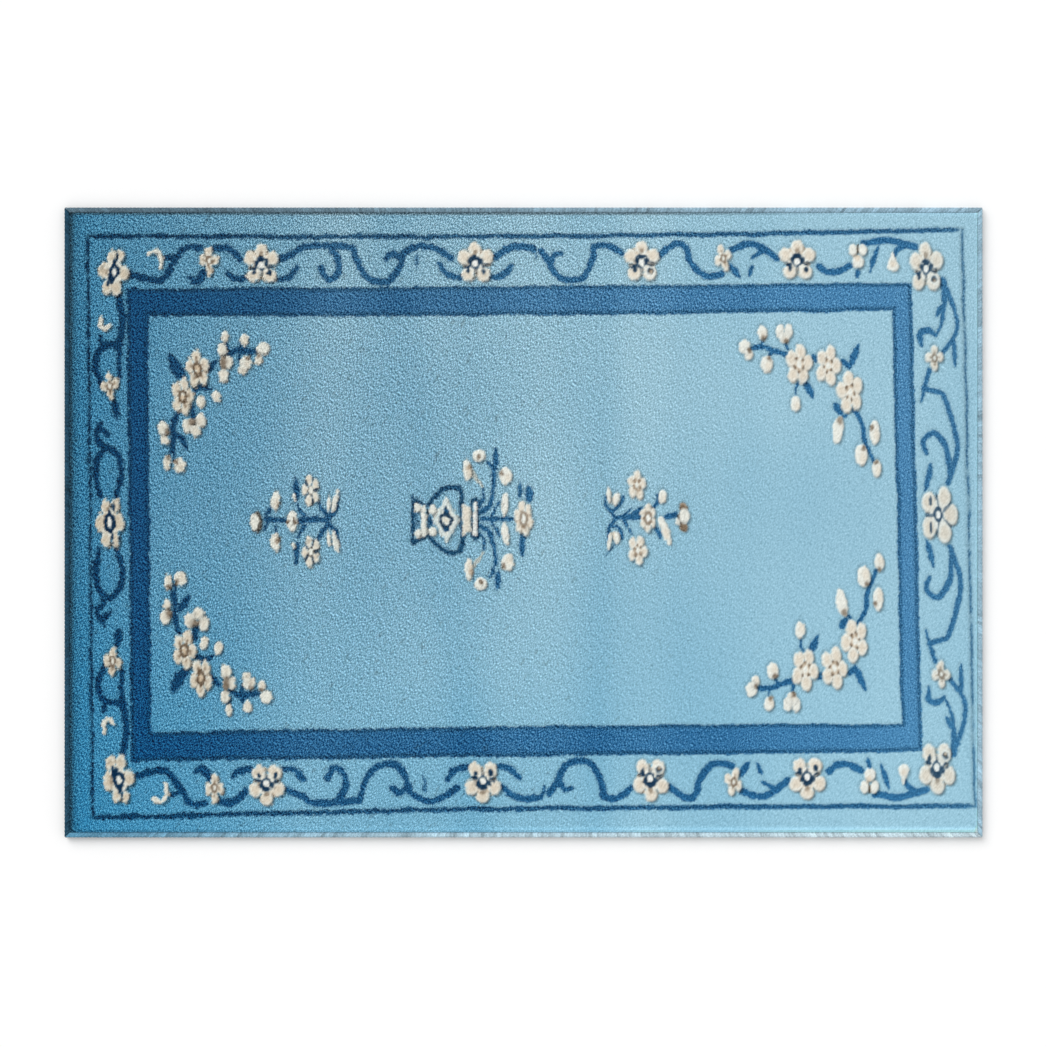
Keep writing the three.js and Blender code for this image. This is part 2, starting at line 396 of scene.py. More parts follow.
def places(u, v, reach, halves):
    """Where a motif stands: each patch of the pile that it needs, and the offsets from its middle there."""
    for half in halves:
        x, y = on_rug(u, half * v)
        first_column = max(int((x - reach + half_length) / step_x), 0)
        last_column = min(int((x + reach + half_length) / step_x) + 2, columns)
        first_row = max(int((y - reach + half_width) / step_y), 0)
        last_row = min(int((y + reach + half_width) / step_y) + 2, rows)
        patch = np.s_[first_row:last_row, first_column:last_column]
        yield patch, pile_u[patch] - u, half * pile_v[patch] - v


def turned(p, q, degrees):
    """Offsets as seen from axes that are turned by some degrees."""
    turn = math.radians(degrees)
    return p * math.cos(turn) + q * math.sin(turn), q * math.cos(turn) - p * math.sin(turn)


def rounded(points):
    """A smooth path through a few points."""
    ends = [points[0], *points, points[-1]]
    path = [np.array(points[0], float)]
    for before, start, stop, after in zip(ends, ends[1:], ends[2:], ends[3:]):
        before, start, stop, after = (np.array(point, float) for point in (before, start, stop, after))
        for step in range(1, PATH_STEPS + 1):
            t = step / PATH_STEPS
            bend = (2 * before - 5 * start + 4 * stop - after) * t**2
            twist = (3 * start - before - 3 * stop + after) * t**3
            path.append(start + ((stop - before) * t + bend + twist) / 2)
    return np.array(path)


def path_inside(p, q, path, widths):
    """The distance in from the outline of a path whose width goes from start through middle to end."""
    start, middle, end = widths
    lengths = np.hypot(*np.diff(path, axis=0).T)
    shares = np.concatenate([[0], np.cumsum(lengths)]) / lengths.sum()
    inside = np.full(p.shape, -np.inf)
    for index, length in enumerate(lengths):
        a, run = path[index], path[index + 1] - path[index]
        t = np.clip(((p - a[0]) * run[0] + (q - a[1]) * run[1]) / length**2, 0, 1)
        gap = np.hypot(p - a[0] - t * run[0], q - a[1] - t * run[1])
        s = shares[index] + t * (shares[index + 1] - shares[index])
        width = start * (1 - s) * (1 - 2 * s) + 4 * middle * s * (1 - s) + end * s * (2 * s - 1)
        inside = np.maximum(inside, width / 2 - gap)
    return inside


def stroke(points, widths, yarn="vine", halves=MIRRORED, strength=1.0):
    """A tufted line through some points of the pattern."""
    if isinstance(widths, (int, float)):
        widths = (widths, widths, widths)
    path = rounded(points)
    low, high = path.min(axis=0), path.max(axis=0)
    middle = (low + high) / 2
    reach = (high - low).max() / 2 + max(widths) + MOTIF_MARGIN
    for patch, p, q in places(*middle, reach, halves):
        inside = path_inside(p, q, path - middle, widths)
        shear(patch, inside, STROKE_RISES.get(yarn, STROKE_RISE), STROKE_TRENCH * strength)
        lay(patch, inside, yarn, strength)


def stem(points, widths, **settings):
    """A stroke that is not mirrored."""
    stroke(points, widths, halves=ONCE, **settings)


def leaf(start, end, width, bend=0.0):
    """A pointed leaf between two points, which may bend to one side."""
    middle_u = (start[0] + end[0]) / 2 - bend * (end[1] - start[1])
    middle_v = (start[1] + end[1]) / 2 + bend * (end[0] - start[0])
    stroke([start, (middle_u, middle_v), end], (LEAF_START * width, width, LEAF_TIP * width))


def spot(yarn, u, v, along, across, turn=0.0, strength=1.0, soft=YARN_SOFT, rise=0.0, halves=MIRRORED):
    """An oval of one yarn."""
    for patch, du, dv in places(u, v, max(along, across) / 2 + MOTIF_MARGIN, halves):
        p, q = turned(du, dv, turn)
        inside = (1 - np.hypot(2 * p / along, 2 * q / across)) * (along + across) / 4
        if rise:
            shear(patch, inside, rise, MOTIF_TRENCH)
        lay(patch, inside, yarn, strength, soft)


def oval(u, v, along, across, turn=0.0, halves=MIRRORED):
    """A raised cream oval."""
    spot("cream", u, v, along, across, turn, rise=BUD_RISE, halves=halves)


def bud(u, v, along, across, turn=0.0, base=None, halves=MIRRORED):
    """A raised cream bud, with a brown smudge towards its base, whose direction is in degrees."""
    oval(u, v, along, across, turn, halves)
    shade_u = u + BUD_SHADE_SHIFT * along
    shade_v = v - BUD_SHADE_SHIFT * across
    spot("tan", shade_u, shade_v, along / 2, across / 2, turn, halves=halves, **BUD_SHADE)
    if base is not None:
        base_u = u + BUD_BASE_SHIFT * along * math.cos(math.radians(base))
        base_v = v + BUD_BASE_SHIFT * across * math.sin(math.radians(base))
        spot("brown", base_u, base_v, turn=turn, halves=halves, **BUD_BASE)


def folded(petals, base):
    """A blossom seen from its side: a few oval petals, and the brown base that they spring from."""
    for u, v, along, across in (*petals, base):
        spot("cream", u, v, along, across, rise=BLOSSOM_RISE)
        spot("tan", u, v, along / 2, across / 2, **FOLD_SHADE)
    spot("brown", *base, **FOLD_BASE)


# Blossoms. Petals are circles in shares of the blossom's half lengths: middle and radius.
# Marks are spots of yarn: place in the same shares, lengths in millimetres, strength.
def petal_ring(count, out, radius):
    """Petals set evenly round a blossom, the first one pointing up."""
    angles = [math.pi / 2 + 2 * math.pi * index / count for index in range(count)]
    return [(out * math.cos(angle), out * math.sin(angle), radius) for angle in angles]


FIVE_PETALS = petal_ring(5, 0.61, 0.4)
SIX_PETALS = petal_ring(6, 0.62, 0.37)
BORDER_MARKS = [
    ("brown", 0, 0.44, 5, 6, 0.5),
    ("brown", -0.4, 0.02, 5, 5, 0.35),
    ("navy", -0.02, 0.2, 10, 5.6, 0.95),
    ("navy", -0.28, 0.02, 5, 6.4, 0.9),
    ("navy", 0.28, 0, 5.4, 6.4, 0.9),
    ("navy", -0.48, -0.24, 7, 4.6, 0.95),
    ("navy", -0.42, -0.42, 3.8, 5, 0.9),
    ("navy", 0.48, -0.16, 7, 4.2, 0.95),
    ("navy", 0.46, -0.48, 4.6, 5.8, 0.95),
    ("navy", 0, -0.42, 3.2, 5.4, 0.7),
]
EYE_MARKS = [
    ("cream", 0.48, -0.56, 11, 10, 1),
    ("navy", 0.46, -0.52, 6.4, 5.6, 0.8),
    ("brown", 0.47, -0.55, 4.4, 3.8, 0.8),
    ("tan", 0.5, -0.6, 3, 2.4, 0.8),
]
BORDER_KIND = {
    "petals": [
        (0, 0.64, 0.37), (-0.6, 0.24, 0.38), (0.62, 0.24, 0.38), (-0.42, -0.6, 0.37), (0.44, -0.6, 0.38),
    ],
    "core": 0.58,
    "marks": BORDER_MARKS,
    "ring": ("navy", -0.02, -0.08, 4.3, 2.2, 0.75),
    "dot": ("white", -0.02, -0.08, 4.8, 5.8),
    "seams": ("tan", 0.4, 0.72, 1.8, 0.6),
}
KINDS = {
    "border": BORDER_KIND,
    "eyed": {**BORDER_KIND, "marks": BORDER_MARKS + EYE_MARKS},
    "right_middle": {
        **BORDER_KIND,
        "marks": [
            ("navy", -0.45, -0.52, 8, 3.6, 0.8),
            ("navy", 0.45, -0.52, 9, 3.6, 0.8),
            ("tan", 0, 0.4, 14, 6, 0.5),
        ],
        "ring": ("navy", 0, -0.1, 4.6, 3, 0.85),
        "dot": ("white", 0, -0.1, 5.2, 5.2),
        "seams": ("navy", 0.22, 0.72, 2.4, 0.6),
    },
    "left_corner": {
        "petals": [
            (-0.62, 0.08, 0.38), (-0.14, 0.67, 0.31), (0.4, 0.73, 0.28), (0.66, -0.05, 0.37),
            (-0.44, -0.64, 0.35), (0.17, -0.68, 0.37),
        ],
        "core": 0.64,
        "marks": [
            ("brown", -0.4, 0.06, 4.5, 7, 0.4),
            ("navy", 0.06, 0.42, 4.4, 8, 0.95),
            ("navy", 0.2, 0.6, 3.6, 7, 0.95),
            ("navy", -0.16, -0.3, 10, 7, 0.95),
            ("navy", -0.34, -0.44, 6, 5, 0.95),
            ("white", 0.3, 0.48, 2.8, 5, 0.9),
        ],
        "ring": ("navy", 0.04, 0.02, 5, 4.6, 0.95),
        "dot": ("white", 0.05, 0, 5, 6.6),
    },
    "left_middle": {
        "petals": [
            (-0.28, 0.66, 0.33), (0.38, 0.7, 0.31), (-0.6, 0.02, 0.4), (0.56, 0, 0.43), (-0.26, -0.66, 0.34),
            (0.36, -0.66, 0.32),
        ],
        "core": 0.64,
        "marks": [
            ("brown", -0.32, 0.1, 4.5, 9, 0.45),
            ("brown", -0.1, 0.58, 4, 4, 0.5),
            ("navy", 0.26, 0.64, 5, 7, 0.85),
            ("navy", 0.18, -0.62, 4.4, 7.6, 0.95),
            ("navy", 0.6, -0.66, 4, 5.6, 0.9),
            ("navy", 0, 0.36, 4.6, 8, 0.95),
            ("navy", 0.06, -0.3, 7, 6, 0.95),
            ("navy", -0.3, 0.06, 3.4, 5, 0.8),
        ],
        "ring": ("navy", 0.02, 0, 5, 4.8, 0.95),
        "dot": ("white", 0, 0, 5, 6.6),
    },
    "spray": {
        "petals": FIVE_PETALS,
        "core": 0.4,
        "ring": ("brown", 0, 0, 4.2, 3.6, 0.75),
        "dot": ("tan", 0, 0, 4.4, 5.4),
        "streaks": ("brown", 0.24, 0.5, 2.4, 0.5),
    },
    "pale": {
        "petals": FIVE_PETALS,
        "core": 0.42,
        "marks": [
            ("brown", -0.22, 0.22, 3.6, 3.2, 0.95),
            ("brown", 0.2, 0.26, 3.6, 3, 0.9),
            ("brown", 0.28, -0.12, 3.2, 3.4, 0.95),
            ("brown", -0.26, -0.16, 3.6, 3, 0.95),
            ("brown", 0.02, -0.3, 3.2, 3.2, 0.85),
        ],
        "ring": ("tan", 0, 0, 4, 2.4, 0.55),
        "dot": ("cream", 0, 0, 3.4, 3.8),
    },
    "sprig": {
        "petals": FIVE_PETALS,
        "core": 0.4,
        "ring": ("brown", 0, 0, 3.4, 1.5, 0.6),
        "dot": ("cream", 0, 0, 4.4, 5),
        "seams": ("navy", 0.3, 0.72, 2.2, 0.85),
    },
    "small": {
        "petals": [
            (0, 0.64, 0.38), (-0.58, 0.06, 0.4), (0.58, 0.08, 0.4), (-0.02, -0.42, 0.4), (0.06, -0.68, 0.32),
        ],
        "core": 0.5,
        "ring": ("brown", 0, 0, 2.9, 2.6, 0.65),
        "dot": ("cream", 0, 0, 2.6, 3.2),
        "streaks": ("brown", 0.3, 0.5, 1.4, 0.4),
    },
    "round": {
        "petals": SIX_PETALS,
        "core": 0.55,
        "ring": ("brown", 0, 0, 4.4, 3.4, 0.6),
        "dot": ("white", 0, 0, 3.6, 4.8),
        "seams": ("tan", 0.5, 0.85, 1.4, 0.5),
    },
}


def blossom(kind, u, v, along, across, turn=0.0, halves=MIRRORED):
    """A raised cream blossom of one kind, which may be turned."""
    plan = KINDS[kind]
    scale = (along + across) / 4
    for patch, du, dv in places(u, v, max(along, across) / 2 + MOTIF_MARGIN, halves):
        p, q = turned(2 * du / along, 2 * dv / across, turn)
        petals = [scale * (radius - np.hypot(p - a, q - b)) for a, b, radius in plan["petals"]]
        inside = np.maximum.reduce([*petals, scale * (plan["core"] - np.hypot(p, q))])
        shear(patch, inside, BLOSSOM_RISE, MOTIF_TRENCH)
        lay(patch, inside, "cream", soft=BLOSSOM_SOFT)
        for petal in petals:
            petal_line = PETAL_LINE_HALF - np.abs(petal - PETAL_LINE_HALF)
            lay(patch, np.minimum(petal_line, inside - PETAL_LINE_INSET), "tan", PETAL_LINE_STRENGTH)
            lay(patch, petal - PETAL_RIM, "tan", PETAL_SHADE, PETAL_RIM)
        for yarn, a, b, mark_along, mark_across, strength in plan.get("marks", ()):
            reach = np.hypot(2 * scale * (p - a) / mark_along, 2 * scale * (q - b) / mark_across)
            lay(patch, (1 - reach) * (mark_along + mark_across) / 4, yarn, strength, MARK_SOFT)
        for form in ("streaks", "seams"):
            if form in plan:
                yarn, near, far, width, strength = plan[form]
                angles = sorted(math.atan2(b, a) for a, b, radius in plan["petals"])
                if form == "seams":
                    after = [*angles[1:], angles[0] + 2 * math.pi]
                    angles = [(angle + next_angle) / 2 for angle, next_angle in zip(angles, after)]
                for angle in angles:
                    ray = np.array([math.cos(angle), math.sin(angle)]) * scale
                    path = np.array([near * ray, far * ray])
                    lay(patch, path_inside(p * scale, q * scale, path, (width,) * 3), yarn, strength)
        yarn, a, b, radius, width, strength = plan["ring"]
        gap = np.abs(np.hypot(p - a, q - b) * scale - radius)
        lay(patch, width / 2 - gap, yarn, strength)
        yarn, a, b, dot_along, dot_across = plan["dot"]
        reach = np.hypot(2 * scale * (p - a) / dot_along, 2 * scale * (q - b) / dot_across)
        lay(patch, (1 - reach) * (dot_along + dot_across) / 4, yarn)


# Band, frame line and the lines along the band
def box_outside(rectangle):
    """How far each point of the pile lies outside a rectangle of the pattern."""
    left, right, side, waist = rectangle
    from_middle = np.abs(pile_u - (left + right) / 2)
    half = (right - left) / 2
    drawn_in = waist * (1 - (from_middle / half) ** 2)
    return np.maximum(from_middle - half, np.abs(pile_v) + drawn_in - side)


outer_gap = box_outside(BAND_OUTER)
inner_gap = box_outside(BAND_INNER)
frame_gap = box_outside(FRAME_LINE)
lay(WHOLE, np.minimum(-outer_gap, inner_gap), "band")
at_left = smooth_step((BAND_INNER[0] - pile_u) / BAND_LINE_TURN + 1)
band_lines = (
    (outer_gap + BAND_LINE_WIDTH / 2, OUTER_LINE_LOSS),
    (inner_gap - BAND_LINE_WIDTH / 2, INNER_LINE_LOSS),
)
for line_gap, loss in band_lines:
    line_inside = BAND_LINE_WIDTH / 2 - np.abs(line_gap)
    lay(WHOLE, line_inside, "vine", BAND_LINE_STRENGTH * (1 - loss * at_left))
    trench[:] = np.maximum(trench, LINE_TRENCH * hump(line_gap, BAND_TRENCH_REACH))
turn_inset, turn_half = FRAME_LINE_TURN
at_right = smooth_step((pile_u - FRAME_LINE[1] + turn_inset) / turn_half)
at_ends = np.maximum(at_right, smooth_step((FRAME_LINE[0] + turn_inset - pile_u) / turn_half))
unbroken = smooth_step((noise(7, *BREAKS) + BREAK_RARITY) / BREAK_SOFT)
frame_width = FRAME_LINE_WIDTH + at_ends * (FRAME_LINE_THIN - FRAME_LINE_WIDTH)
frame_inside = frame_width / 2 - np.abs(frame_gap)
lay(WHOLE, frame_inside, "vine", 1 - at_right * (FRAME_LINE_LOSS + FRAME_LINE_BREAKS * (1 - unbroken)))
trench[:] = np.maximum(trench, LINE_TRENCH * hump(frame_gap, FRAME_TRENCH_REACH))

# Vine of the long borders
LONG_VINES = [
    [(-396, 249), (-384, 245), (-370, 243), (-361, 246), (-353, 259), (-341, 275), (-327, 275)],
    [(-312, 274), (-298, 274.5), (-286, 263.5)],
    [(-246, 263), (-230, 270), (-221, 276), (-195, 276), (-174, 274.5)],
    [(-195, 275), (-187, 258), (-191, 245), (-199, 243), (-205, 253)],
    [(-174, 274.5), (-166.5, 254.5), (-155.5, 242), (-137.5, 241), (-127, 255), (-123.5, 267)],
    [(-126, 262), (-121, 270), (-106.5, 276), (-90.5, 273), (-75.5, 264)],
    [(-31.5, 263.5), (-14.5, 274.4), (5.5, 273.3)],
    [(14.5, 270), (22, 260), (26, 250), (35, 241.5), (54.5, 241), (65, 258), (68, 274)],
    [(67, 272), (74, 276), (84, 273.5), (95, 266.5)],
    [(133.5, 265), (150.5, 276), (159.5, 272), (164.5, 257), (178.5, 243), (195.5, 245)],
    [(205.5, 270), (221.5, 276), (235.5, 272), (250.5, 260)],
    [(291.5, 252), (300, 246), (311, 246), (322.5, 252)],
    [(337.5, 275), (345, 276), (361.5, 277.7), (388.5, 271.5)],
]
for points in LONG_VINES:
    stroke(points, VINE_WIDTH)
LONG_TAILS = [
    [(-299, 250), (-290, 243.5), (-278, 243.5)],
    [(-248, 242.5), (-238, 244), (-229, 254)],
    [(-86.5, 257), (-80, 247), (-66.5, 243)],
    [(-38, 243.5), (-26, 244), (-15, 255)],
]
for points in LONG_TAILS:
    stroke(points, (5, VINE_WIDTH, 5.5))
stroke([(5.5, 273), (9, 268), (9.5, 262)], (5, 3.4, 1.2))
stroke([(24, 254), (28, 266), (36, 266)], (5.5, 6, 4))
stroke([(-140, 263), (-134, 268), (-126, 262)], (6.5, 6.5, 4.5))
stroke([(-109.5, 266), (-109, 258), (-111, 250)], (4, 3.2, 1.5), strength=0.7)
stroke([(236, 268), (226, 262)], (6, 4.5, 3))
leaf((226, 255), (221, 243), 4.5)
leaf((204, 255), (213, 242), 7)
leaf((351, 271), (343, 246), 5.5)
stroke([(376, 272), (370, 268), (366, 260)], (6, 5, 3))
stroke([(-336, 245), (-329, 241.5), (-321.5, 252)], (4, 9, 5.5))
stroke([(-360, 266), (-351, 264)], 5)
stroke([(-377, 270.5), (-369, 272.5), (-365, 266), (-365.5, 257)], (5, 4.6, 4.4), "cream")

# Vine of the short borders
stroke([(-408, 229), (-404, 203), (-407, 180)], (7, 6.8, 6))
stroke([(-406, 178), (-416, 177.5), (-424.5, 175), (-430, 166), (-431, 156), (-425, 137)], (6, 7, 5))
stroke([(-426, 187), (-425, 181), (-423, 175)], (3.6, 5.4, 6))
stroke([(-407.5, 182), (-408, 146)], (6, 5, 5))
leaf((-413, 123), (-409.5, 104), 8)
stroke([(-425, 101), (-427, 95), (-419, 88)], (2.4, 6, 3.5))
stroke([(-430, 95), (-431, 85), (-424, 75)], (3, 5.5, 6))
for side in (1, -1):
    loop = [(-420, 75), (-420 + side * 10, 66), (-420 + side * 13, 48), (-420 + side * 8, 26)]
    stroke(loop, (6, 6.5, 5))
stroke([(-425.5, 205), (-425.5, 197), (-421, 193), (-416, 197)], (4, 4.8, 4.6), "cream")
stroke([(415, 236), (417, 226), (416, 205), (412, 190), (407, 181)], (8, 4.6, 2.4))
leaf((416, 213), (409, 200), 6)
stroke([(407, 181), (399, 186), (391.5, 182), (392, 171)], (4, 6.5, 3.6))
stroke([(419, 228), (427, 206), (427.5, 184), (414, 164)], (5.5, 4.4, 5))
leaf((424.5, 178), (425.5, 149), 5)
stroke([(400, 146), (396, 132), (391, 114)], (4.6, 4, 2))
stroke([(394, 127), (406, 124), (413.5, 119), (424, 84), (425.5, 60), (416, 32)], (5, 5.4, 5.4))
stroke([(418, 40), (415, 66), (404, 82), (393, 74), (396, 62)], (4.5, 6, 4.5))
leaf((400, 51), (392.5, 24), 6)

# Blossoms of the borders
for place, kind in ((-265, "border"), (-51, "border"), (115, "eyed"), (270, "border")):
    blossom(kind, place, 258.5, 36, 41)
blossom("left_corner", -412, 251, 31, 47)
blossom("eyed", 399, 251, 35, 50)
blossom("left_middle", -418, 0, 29, 50, halves=ONCE)
blossom("right_middle", 407, 0, 36, 58, turn=-90, halves=ONCE)
blossom("small", -317, 261, 20, 30)
blossom("small", 197, 261, 19, 29, turn=20)
blossom("small", -417, 136, 19, 29, turn=8)
blossom("small", 405, 158, 19, 27)

# A small blossom seen from its side, and a hanging bud
for side in (-1, 1):
    spot("cream", 331 + 5 * side, 268, 9, 13, rise=BLOSSOM_RISE)
spot("cream", 331, 256, 12, 14, rise=BLOSSOM_RISE)
spot("tan", 330, 260, 5, 7, strength=0.7, soft=2)
stroke([(331.5, 273), (330.5, 265)], (1.5, 1.5, 1), "brown", strength=0.7)
leaf((331, 249), (330, 240), 5.5)
stroke([(365.5, 265), (366, 252)], (1.5, 6, 12), "cream")
spot("tan", 366, 254, 5, 6, strength=0.6, soft=2)

# Sprays at the left corners of the field
leaf((-357, 166), (-341, 142), 11, bend=-0.06)
stroke([(-319, 152), (-312, 160)], 6)
stroke([(-334, 132), (-325, 136), (-316, 132)], (5, 7, 3))
stroke([(-335.5, 115), (-334, 105)], 6)
stroke([(-350, 110), (-355, 96), (-354.6, 84), (-357.5, 69)], (4, 5.4, 4.6))
stroke([(-355, 80), (-354.6, 62)], (4.6, 3, 2))
leaf((-353, 89), (-341, 72), 7, bend=0.06)
stroke([(-300, 166), (-290, 171), (-272, 170)], (5, 7.5, 5))
stroke([(-301, 174), (-303, 182)], (6.5, 5, 4))
stroke([(-287, 172), (-287, 179)], (5, 4, 3))
stroke([(-288, 166), (-287, 161)], (4.5, 3.6, 3))
blossom("spray", -329, 153, 24, 39, turn=5)
blossom("spray", -345, 126, 24, 39, turn=-14)
folded([(-305, 172, 10, 13), (-299, 159, 10, 14), (-304, 147, 11, 15)], (-304, 159, 7, 15))
folded([(-340, 97, 11, 16), (-332, 91, 12, 13), (-326.5, 101, 11, 15)], (-335, 100, 8, 6))
folded([(-364.5, 93.5, 10.5, 15), (-363, 81, 9.5, 10.5)], (-360.5, 89.5, 4.5, 6))
bud(-302, 185, 7.5, 12)
bud(-283, 182, 9, 13)
oval(-264, 173, 13, 13.5)
bud(-268.5, 162, 8, 12, base=110)
bud(-281, 159, 13, 14, base=60)
bud(-284, 152, 9, 10)
bud(-326, 120, 9, 13, turn=10)
bud(-311, 125, 9, 14, turn=20)
bud(-361, 59, 8.5, 15, base=70)
bud(-348.5, 56, 13, 15, base=140)

# Sprays at the right corners of the field
stroke([(222, 169.5), (236, 170), (247, 166), (259, 162)], (4, 5.6, 5.6))
stroke([(234, 171), (233.5, 178)], 2)
stroke([(244, 166), (239, 160)], (4, 3, 2))
stroke([(256, 176), (259, 168)], 3)
stroke([(284, 160), (288, 158), (292, 156)], (6, 7, 5))
stroke([(314, 156), (319, 151)], (5, 6, 5))
leaf((320, 148), (330, 173), 7)
leaf((274, 138), (284, 118), 7)
stroke([(272, 136), (267, 130), (267, 122)], (2, 2, 2))
leaf((306, 112), (311, 102), 8)
stroke([(316, 102), (309, 96)], (2, 3, 3))
stroke([(323, 107), (331, 92), (334, 74), (343, 54)], (4.4, 4.4, 3.6))
blossom("pale", 270, 152, 27, 43, turn=-8)
blossom("pale", 299, 151, 27, 43, turn=-18)
blossom("pale", 320, 124, 27, 43, turn=10)
oval(216.5, 171, 12, 15)
bud(220.5, 163, 9, 12, base=80)
bud(234, 185, 10, 15, base=-70)
oval(252, 186, 9, 15)
oval(260, 186, 9, 15)
bud(256, 180, 11, 12, base=-60)
bud(238, 153, 12, 17, base=60)
bud(266, 113, 10.5, 16)
stroke([(310, 98), (308, 90), (306, 76)], (5, 11, 7), "cream")
spot("brown", 309.5, 96, 5, 8, strength=0.6, soft=2)
bud(344, 83, 10.5, 24, base=150)
bud(330, 61, 13, 22, base=60)
bud(346, 47, 9.5, 18, base=100)

# Sprig near the left end of the field
stem([(-262, 3), (-252, 2), (-243, 0.5)], (5.5, 6, 4.5))
stem([(-231, 0), (-216, 1.5), (-200, 0.5)], (4.5, 7, 4.5))
stem([(-261, 2), (-262, 8), (-258, 14)], (4, 3.6, 3.2))
stem([(-261, 0), (-264.5, -8)], (4, 3, 1.5))
stroke([(-225, 5), (-229, 10), (-232, 16)], (4, 3.6, 3.2))
leaf((-232, 22), (-233.5, 42), 6.5)
stroke([(-200, 2), (-207, 11), (-213, 21)], (5, 4.4, 3.2))
stroke([(-199, 5), (-192.5, 11), (-190.5, 29)], (5, 4.2, 1.6))
oval(-200.5, 17, 4, 15, turn=-6)
stroke([(-196, 10), (-194.5, 18), (-191.5, 30)], (3, 6, 3), "cream")
stem([(-253, -4), (-253.5, -12)], (3, 2.4, 2))
spot("brown", -272.5, 0, 11.5, 21, strength=0.8, rise=BUD_RISE, halves=ONCE)
oval(-274.5, 0, 9, 17, halves=ONCE)
bud(-253.5, 20.5, 9.5, 19, turn=-8, base=-20)
oval(-237.2, 0, 11, 21, halves=ONCE)
spot("brown", -234.5, 0, 2.8, 5, strength=0.8, halves=ONCE)
spot("brown", -241.5, 0, 3.4, 2.4, strength=0.8, halves=ONCE)
oval(-235.5, 24, 3.6, 7)
blossom("sprig", -218, 30.5, 19, 32, turn=15)

# Vase: its half outline from base to lip, its lines, its neck and a diamond with a dark core
VASE_BODY = [(-101.6, 15.4), (-98, 20.1), (-92.5, 25.8), (-87, 30), (-79.7, 32.4)]
VASE_SHOULDER = [(-72.4, 31.6), (-68.6, 27.5), (-67.4, 20), (-68, 13)]
stroke(VASE_BODY + VASE_SHOULDER, (4, 5.2, 4.2), "deep")
stroke([(-117.4, 22), (-110, 18.5), (-101.6, 15.4)], (3.6, 3.2, 3), "deep")
VASE_LINES = ((-117, 23, 3.2), (-102, 16, 2.2), (-69, 18, 2.4), (-58.5, 15, 2.2), (-52, 18.5, 2.6))
for place, reach, width in VASE_LINES:
    stem([(place, -reach), (place, 0), (place, reach)], width, yarn="deep")
stroke([(-58, 17), (-55, 20), (-52, 17)], (3, 3.4, 3), "deep")
spot("vine", -114, 2, 7, 22, strength=0.45, soft=4, halves=ONCE)
stem([(-106.2, -13), (-106.2, 0), (-106.2, 13)], (6, 5.6, 6), yarn="cream")
oval(-112.5, 13, 7.5, 9, turn=20)
oval(-97.5, 10.5, 8.5, 10)
spot("vine", -99.5, -1.5, 5, 7, halves=ONCE)
for patch, du, dv in places(-63.5, 0, 24, ONCE):
    neck = np.minimum(4.4 - np.abs(du), 13.8 - 0.45 * du - np.abs(dv))
    shear(patch, neck, BUD_RISE, VASE_TRENCH)
    lay(patch, neck, "cream")
    lay(patch, neck - 1.5, "tan", 0.4, 2.0)
stem([(-55, -15), (-55, 0), (-55, 15)], (4.2, 4.4, 4.2), yarn="white")
for patch, du, dv in places(-83.5, 0, 34, ONCE):
    diamond = 1 - np.abs(du) / 13.8 - np.abs(dv) / 24.0
    core_diamond = 1 - np.abs(du) / 8.2 - np.abs(dv) / 12.5
    shear(patch, diamond * 9, BUD_RISE, VASE_TRENCH)
    lay(patch, diamond * 9, "cream", 0.95)
    lay(patch, (0.62 - diamond) * 9 * (diamond > 0.1) - 3, "field", 0.2, 2.5)
    lay(patch, core_diamond * 6, "navy", 0.95)
spot("cream", -83.5, 0, 7.6, 10, halves=ONCE)
spot("tan", -83.5, 0, 3.5, 5, strength=0.6, soft=2, halves=ONCE)
for side in (1, -1):
    spot("vine", -83.5, 9.4 * side, 5, 4, strength=0.6, halves=ONCE)

# Flowers in the vase
stem([(-47, 0.4), (-38, 0.3), (-18, 0.3)], (6, 4.4, 4))
stroke([(-49, 7.5), (-41.5, 13), (-38, 24.5), (-36, 41), (-37, 50), (-41, 56)], (5.5, 4.6, 3.4))
stroke([(-50, 15), (-46.5, 21), (-47.5, 30)], (4, 3, 2))
stroke([(-38, 3.5), (-34.5, 10), (-31, 17)], (3, 3, 2))
leaf((-33, 50), (-33.5, 71), 5.5)
leaf((-9.6, 19), (-9.8, 36), 4.6)
spot("vine", -0.5, 24, 8, 17, rise=STROKE_RISE, halves=ONCE)
stem([(-7, -15), (-8.5, -24), (-7.5, -39)], (7, 5.5, 2))
bud(-62, 49.5, 8.5, 22, base=20)
stroke([(-60, 52), (-55, 43), (-48, 33)], (5, 4.4, 2), "tan", strength=0.6)
oval(-50, 63.5, 13, 13)
spot("brown", -50, 62, 3.6, 5, strength=0.75)
bud(-24, 42.5, 13, 18, base=150)
oval(-25, 15, 7.6, 23, turn=-5)
blossom("round", -6.5, 0, 20, 36, turn=14, halves=ONCE)

# Sprig near the right end of the field
stem([(82.5, 5), (84.7, 0.3), (98, 1.2), (109, 0.5)], (2.5, 5.5, 5))
stem([(92, 1), (100, 10)], (4, 3, 1.6))
stem([(102.5, 2.5), (110.5, 9.5)], (5, 5.6, 4))
stem([(93, -2), (100.5, -16)], (4, 3, 1.6))
stem([(85, -1), (78.5, -10), (76, -23)], (2.6, 3.2, 2.2))
stem([(84, -25), (74, -38)], (2, 1.6, 1), strength=0.8)
stem([(74.7, 22), (75.5, 13), (81.5, 6)], (2, 3, 2.6))
stem([(92, 21), (88.5, 12.5), (83, 6.5)], (2.6, 3.6, 2.8))
stem([(81, -8), (87.5, -9.5), (91, -20)], (3, 3.6, 2.6))
oval(78, 23, 4.6, 17, turn=8)
oval(85, 19, 7, 13, turn=-8)
spot("tan", 82, 17, 3, 7, strength=0.6, soft=2)
stem([(127.5, 22), (126, 15), (122, 9.5)], (4, 4.6, 3))
bud(131.5, 21, 8.5, 14, turn=-8, halves=ONCE)
